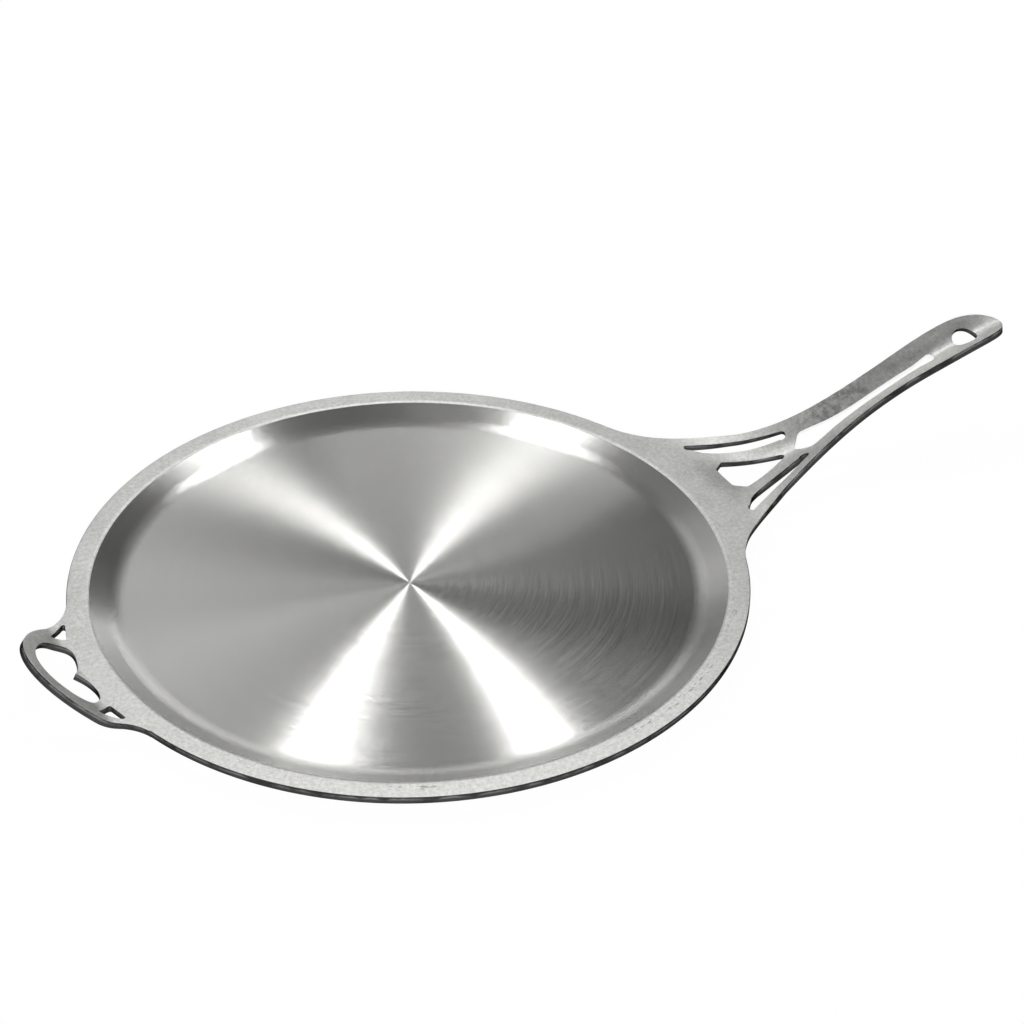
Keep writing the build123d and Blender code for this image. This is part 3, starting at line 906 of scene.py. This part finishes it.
def press_effect(name):
    """Short dark scuffs left by the press ring just outside the crease, in broken stretches."""
    t, given, out = node_group(
        "ShaderNodeTree", name, {"Radius": PRESS_RADIUS, "Width": PRESS_WIDTH, "Dashes": PRESS_DASHES},
        {"Marks": "Float"})
    outward, radius = polar(t)
    dashes = ring_noise(t, outward, radius, given["Dashes"], PRESS_FINENESS, 1.0)
    stretches = ring_noise(t, outward, radius, PRESS_STRETCHES, 0.0, 1.0)
    offset = t.math("ABSOLUTE", t.minus(radius, given["Radius"]))
    band = t.remap(offset, t.times(given["Width"], 0.5), given["Width"], 1.0, 0.0)
    marks = t.times(t.remap(dashes, 0.58, 0.68), t.remap(stretches, 0.42, 0.55))
    side = t.remap(t.vectors("DOT_PRODUCT", outward, PRESS_SIDE), 0.35, 0.65)
    t.feed(out["Marks"], t.times(t.times(marks, band), side))


EFFECTS = {"Turning": turning_effect, "Blasting": blasting_effect, "Press Marks": press_effect}


def effect(t, name, **values):
    """The outputs of a named effect, which is built the first time it is wanted."""
    if name not in bpy.data.node_groups:
        EFFECTS[name](name)
    return t.add("ShaderNodeGroup", node_tree=bpy.data.node_groups[name], **values).outputs


def steel(name, colour, roughness, **constants):
    material = bpy.data.materials.new(name)
    material.use_nodes = True
    t = Tree(material.node_tree)
    shader = material.node_tree.nodes["Principled BSDF"]
    t.wire(shader, Base_Color=(*colour, 1.0), Metallic=1.0, Roughness=roughness, **constants)
    return material, t, shader


def turned_steel(name, colour):
    material, t, shader = steel(name, colour, 0.24, Anisotropic=1.0, Anisotropic_Rotation=0.25)
    rings = effect(t, "Turning")
    # real arcs of tone and scratches, both kept to the front side: partly real marks, partly painted glints
    # that lighten the colour
    tone = t.plus(t.remap(rings["Arcs"], *ARC_SPAN, 0.87, 1.13), t.times(rings["Scratches"], 0.12))
    t.wire(shader, Base_Color=t.shade(colour, tone), Normal=rings["Normal"],
           Roughness=t.remap(rings["Arcs"], *ARC_SPAN, 0.23, 0.25),
           Tangent=t.add("ShaderNodeTangent", direction_type="UV_MAP", uv_map="turned"))
    return material


def blasted_steel(name, colour):
    material, t, shader = steel(name, colour, 0.44)
    skin = effect(t, "Blasting", Depth=0.8)
    where = t.here()
    x, y, _ = t.split(where)
    tone = t.remap(skin["Clouds"], *NOISE_SPAN, 0.90, 1.08)
    for mask, depth in ((skin["Speckle"], 0.13), (skin["Mottle"], 0.11)):
        tone = t.plus(tone, t.remap(mask, *NOISE_SPAN, -depth, depth))
    stretch = t.times(t.remap(x, *STAIN_START), t.remap(x, *STAIN_END))
    stains = t.times(t.remap(t.noise(where, STAIN_FINENESS, 4.0, 0.7), 0.46, 0.6), stretch)
    stains = t.times(stains, t.remap(y, *STAIN_SIDE))
    # painted shade over the right side of the flange and the root of the long handle
    root = t.times(t.remap(x, *ROOT_SHADE_START), t.remap(x, *ROOT_SHADE_END))
    for mask, darkest in ((effect(t, "Press Marks")["Marks"], 0.5), (stains, 0.62), (root, 0.86)):
        tone = t.times(tone, t.remap(mask, 0.0, 1.0, 1.0, darkest))
    t.wire(shader, Base_Color=t.shade(colour, tone), Normal=skin["Normal"],
           Roughness=t.remap(skin["Clouds"], *NOISE_SPAN, 0.40, 0.50))
    return material


def cut_steel(name, colour):
    """Edge left by the cutting beam: fine upright ridges, a dark lip and a paler streak along the middle."""
    material, t, shader = steel(name, colour, 0.42, Specular_Tint=(0.15, 0.15, 0.15, 1.0))
    where = t.here()
    ridges, patches = t.noise(where, RIDGES), t.noise(where, PATCHES, 3.0)
    height = t.split(t.add("ShaderNodeUVMap", uv_map="edge"))[1]
    middle = t.math("ABSOLUTE", t.minus(height, t.remap(patches, *NOISE_SPAN, 0.5, 0.8)))
    streak = t.times(t.remap(middle, 0.05, 0.2, 1.0, 0.0), t.remap(patches, 0.4, 0.6))
    tone = t.times(t.remap(ridges, 0.25, 0.75, 0.8, 1.2), t.remap(patches, *NOISE_SPAN, 0.7, 1.4))
    tone = t.plus(tone, t.times(streak, 2.5))
    t.wire(shader, Base_Color=t.shade(colour, tone), Normal=t.bump(ridges))
    return material


def slot_steel(name, colour):
    """Smoothed walls of the long slot."""
    material, t, shader = steel(name, colour, 0.3)
    skin = effect(t, "Blasting", Depth=0.3)
    tone = t.remap(skin["Mottle"], *NOISE_SPAN, 0.96, 1.02)
    t.wire(shader, Base_Color=t.shade(colour, tone), Normal=skin["Normal"])
    return material


FINISHES = {"turned": turned_steel, "blasted": blasted_steel, "cut": cut_steel, "slot": slot_steel}


def finish(kind, looks):
    """This kind of steel, made the first time it is wanted."""
    name = kind.capitalize() + " finish"
    return bpy.data.materials.get(name) or FINISHES[kind](name, getattr(looks, kind))


# ---------------- stage
# the studio stands square to the camera, which looks at the pan from this side of its long handle
VIEW_TURN = math.radians(28.95)
STUDIO = Matrix.Rotation(-VIEW_TURN, 4, "Z")

CAMERA_TARGET = (0.0623, 0.0201, 0.0087)
CAMERA_DISTANCE = 1.1858
CAMERA_ELEVATION = math.radians(34.876)
CAMERA_ROLL = math.radians(0.652)
SENSOR_WIDTH, FOCAL_LENGTH = 36.0, 91.40625

FLOOR_REACH = 6.0
FLOOR_WHITE, FLOOR_GLOW, GLOW_SHARE = 0.9, 1.03, 0.94
WORLD_GREY = 0.5

# soft boxes: both ends of the middle line, width, brightness
STRIPS = {
    "strip_left": ((-0.20, 1.22, 1.58), (-0.50, 0.56, 1.85), 0.18, 12.0),
    "strip_right": ((0.16, 1.32, 1.50), (0.44, 0.80, 1.77), 0.115, 19.0),
    "soft_back": ((-0.66, 1.56, 1.25), (-0.20, 1.60, 1.25), 0.42, 0.9),
    "low_back": ((-0.24, 1.80, 0.80), (0.36, 1.78, 0.85), 0.20, 2.9),
    "soft_front": ((-0.45, -1.45, 1.35), (0.45, -1.45, 1.35), 0.5, 2.0),
}

# cards: opposite corners, grey
CARDS = {
    "ceiling": ((-7, -7, 2.4), (7, 7, 2.4), 0.42),
    "bright_front": ((-7, -7, 2.35), (7, -1.0, 2.35), 0.85),
    "dark_right": ((0.05, -3.6, 2.3), (5.3, 4.6, 2.3), 0.02),
    "near_right": ((0.01, 1.2, 0.66), (0.75, 1.2, 1.00), 0.02),
    "dark_top": ((-1.7, -0.5, 2.26), (1.25, 3.0, 2.26), 0.17),
    "low_screen": ((-1.6, 3.0, -0.1), (2.0, 3.0, 0.98), 0.15),
}


def bare_tree(owner):
    """The owner's node tree, emptied."""
    owner.use_nodes = True
    owner.node_tree.nodes.clear()
    return Tree(owner.node_tree)


def grey(value):
    return (value, value, value, 1.0)


def seen_rays(t):
    """1 for rays that show a background: from the camera, from metal and through glass."""
    rays = t.add("ShaderNodeLightPath").outputs
    some = t.math("MAXIMUM", rays["Is Camera Ray"], rays["Is Glossy Ray"])
    return t.math("MAXIMUM", some, rays["Is Transmission Ray"])


def mixed(t, share, first, second):
    return t.fill(t.add("ShaderNodeMixShader"), share, first, second)


def white_floor():
    mesh = bpy.data.meshes.new("floor")
    r = FLOOR_REACH
    mesh.from_pydata([(-r, -r, 0), (r, -r, 0), (r, r, 0), (-r, r, 0)], [], [(0, 1, 2, 3)])
    material = bpy.data.materials.new("studio_white")
    t = bare_tree(material)
    diffuse = t.add("ShaderNodeBsdfDiffuse", Color=grey(FLOOR_WHITE))
    glow = t.add("ShaderNodeEmission", Strength=FLOOR_GLOW)
    t.add("ShaderNodeOutputMaterial", Surface=mixed(t, t.times(seen_rays(t), GLOW_SHARE), diffuse, glow))
    mesh.materials.append(material)
    new_piece("studio_floor", mesh)


def white_world(scene):
    scene.world = bpy.data.worlds.new("studio")
    t = bare_tree(scene.world)
    soft, white = (t.add("ShaderNodeBackground", Color=grey(value)) for value in (WORLD_GREY, 1))
    t.add("ShaderNodeOutputWorld", Surface=mixed(t, seen_rays(t), soft, white))


def strip(name, start, end, width, radiance):
    """Long soft box between two studio places, facing the pan."""
    start, end = Vector(start), Vector(end)
    middle = (start + end) / 2
    along = (end - start).normalized()
    back = middle - along * middle.dot(along)
    back.normalize()
    side = along.cross(back)
    data = bpy.data.lights.new(name, "AREA")
    data.shape = "RECTANGLE"
    data.size = width
    data.size_y = (end - start).length
    data.energy = radiance * math.pi * data.size * data.size_y
    obj = new_piece(name, data)
    turn = Matrix((side, along, back)).transposed().to_4x4()
    obj.matrix_world = STUDIO @ (Matrix.Translation(middle) @ turn)


def card(name, near_corner, far_corner, shade):
    """Card of the studio between two opposite corners, seen by the metal only."""
    mesh = bpy.data.meshes.new(name)
    (x0, y0, z0), (x1, y1, z1) = near_corner, far_corner
    mesh.from_pydata([(x0, y0, z0), (x0, y1, z1), (x1, y1, z1), (x1, y0, z0)], [], [(0, 1, 2, 3)])
    material = bpy.data.materials.new(name)
    t = bare_tree(material)
    t.add("ShaderNodeOutputMaterial", Surface=t.add("ShaderNodeEmission", Color=grey(shade)))
    mesh.materials.append(material)
    obj = new_piece(name, mesh)
    obj.matrix_world = STUDIO
    obj.visible_camera = False


def camera(scene):
    data = bpy.data.cameras.new("camera")
    data.sensor_width = SENSOR_WIDTH
    data.lens = FOCAL_LENGTH
    obj = new_piece("camera", data)
    toward = STUDIO @ Vector((0, -math.cos(CAMERA_ELEVATION), math.sin(CAMERA_ELEVATION)))
    place = Vector(CAMERA_TARGET) + toward * CAMERA_DISTANCE
    turn = toward.to_track_quat("Z", "Y").to_matrix().to_4x4()
    obj.matrix_world = Matrix.Translation(place) @ turn @ Matrix.Rotation(CAMERA_ROLL, 4, "Z")
    scene.camera = obj


# ---------------- operators
def keep(obj, slot, *nodes):
    """Hand a finished piece to the frame."""
    if not obj.data.polygons:
        raise RuntimeError(f"{obj.name} came out empty")
    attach(obj, "root")
    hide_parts(*nodes)


class GRIDDLE_OT_dish(bpy.types.Operator):
    """Turn the dish: floor, coved wall and the inner edge of the flange"""
    bl_idname = "griddle.dish"
    bl_label = "Dish"

    def execute(self, context):
        sizes, looks = context.scene.griddle_sizes, context.scene.griddle_looks
        obj = run_nodes("dish", lathe_tree(), {
            "Sheet": sizes.sheet, "Flange Top": sizes.flange_top, "Seam Radius": sizes.seam_radius,
            "Crease Radius": sizes.rim_radius - sizes.flange_width, "Wall Angle": sizes.wall_angle,
            "Cove": sizes.cove_radius, "Crease Inside": sizes.crease_inside, "Segments": sizes.turns,
            "Turned": finish("turned", looks), "Blasted": finish("blasted", looks)})
        soften(obj.data, sizes.seam_radius)
        keep(obj, "turned_steel", "cooking_floor", "coved_wall")
        return {"FINISHED"}


class GRIDDLE_OT_rim(bpy.types.Operator):
    """Press the flange and both handles from one blank"""
    bl_idname = "griddle.rim"
    bl_label = "Rim and handles"

    def execute(self, context):
        sizes, looks = context.scene.griddle_sizes, context.scene.griddle_looks
        mesh = formed_sheet("rim_and_handles", sizes)
        for kind in ("blasted", "cut", "slot"):
            mesh.materials.append(finish(kind, looks))
        soften(mesh, sizes.seam_radius)
        obj = new_piece("rim_and_handles", mesh)
        keep(obj, "blasted_steel", "rim_flange", "long_handle", "helper_handle")
        return {"FINISHED"}


class GRIDDLE_OT_stage(bpy.types.Operator):
    """Lay the white floor, the world, the lamps and the camera"""
    bl_idname = "griddle.stage"
    bl_label = "Stage"

    def execute(self, context):
        scene = context.scene
        scene.view_settings.view_transform = "Standard"
        white_floor()
        white_world(scene)
        for name, placing in STRIPS.items():
            strip(name, *placing)
        for name, placing in CARDS.items():
            card(name, *placing)
        camera(scene)
        if scene.camera is None:
            raise RuntimeError("The stage has no camera")
        return {"FINISHED"}


# ---------------- panel and register
class GRIDDLE_PT_panel(bpy.types.Panel):
    """Sizes, finishes and the steps of the build"""
    bl_label = "Griddle"
    bl_idname = "GRIDDLE_PT_panel"
    bl_space_type = "VIEW_3D"
    bl_region_type = "UI"
    bl_category = "Griddle"

    def draw(self, context):
        for group in (context.scene.griddle_sizes, context.scene.griddle_looks):
            box = self.layout.box()
            for key in group.__annotations__:
                box.prop(group, key)
        for step in STEPS:
            self.layout.operator(step.bl_idname)


STEPS = (GRIDDLE_OT_dish, GRIDDLE_OT_rim, GRIDDLE_OT_stage)
CLASSES = (PanSizes, SteelLooks, *STEPS, GRIDDLE_PT_panel)


def register():
    for item in CLASSES:
        bpy.utils.register_class(item)
    bpy.types.Scene.griddle_sizes = bpy.props.PointerProperty(type=PanSizes)
    bpy.types.Scene.griddle_looks = bpy.props.PointerProperty(type=SteelLooks)


def unregister():
    del bpy.types.Scene.griddle_looks
    del bpy.types.Scene.griddle_sizes
    for item in reversed(CLASSES):
        bpy.utils.unregister_class(item)


def main():
    register()
    bpy.ops.griddle.dish()
    bpy.ops.griddle.rim()
    bpy.ops.griddle.stage()


if __name__ == "__main__":
    main()
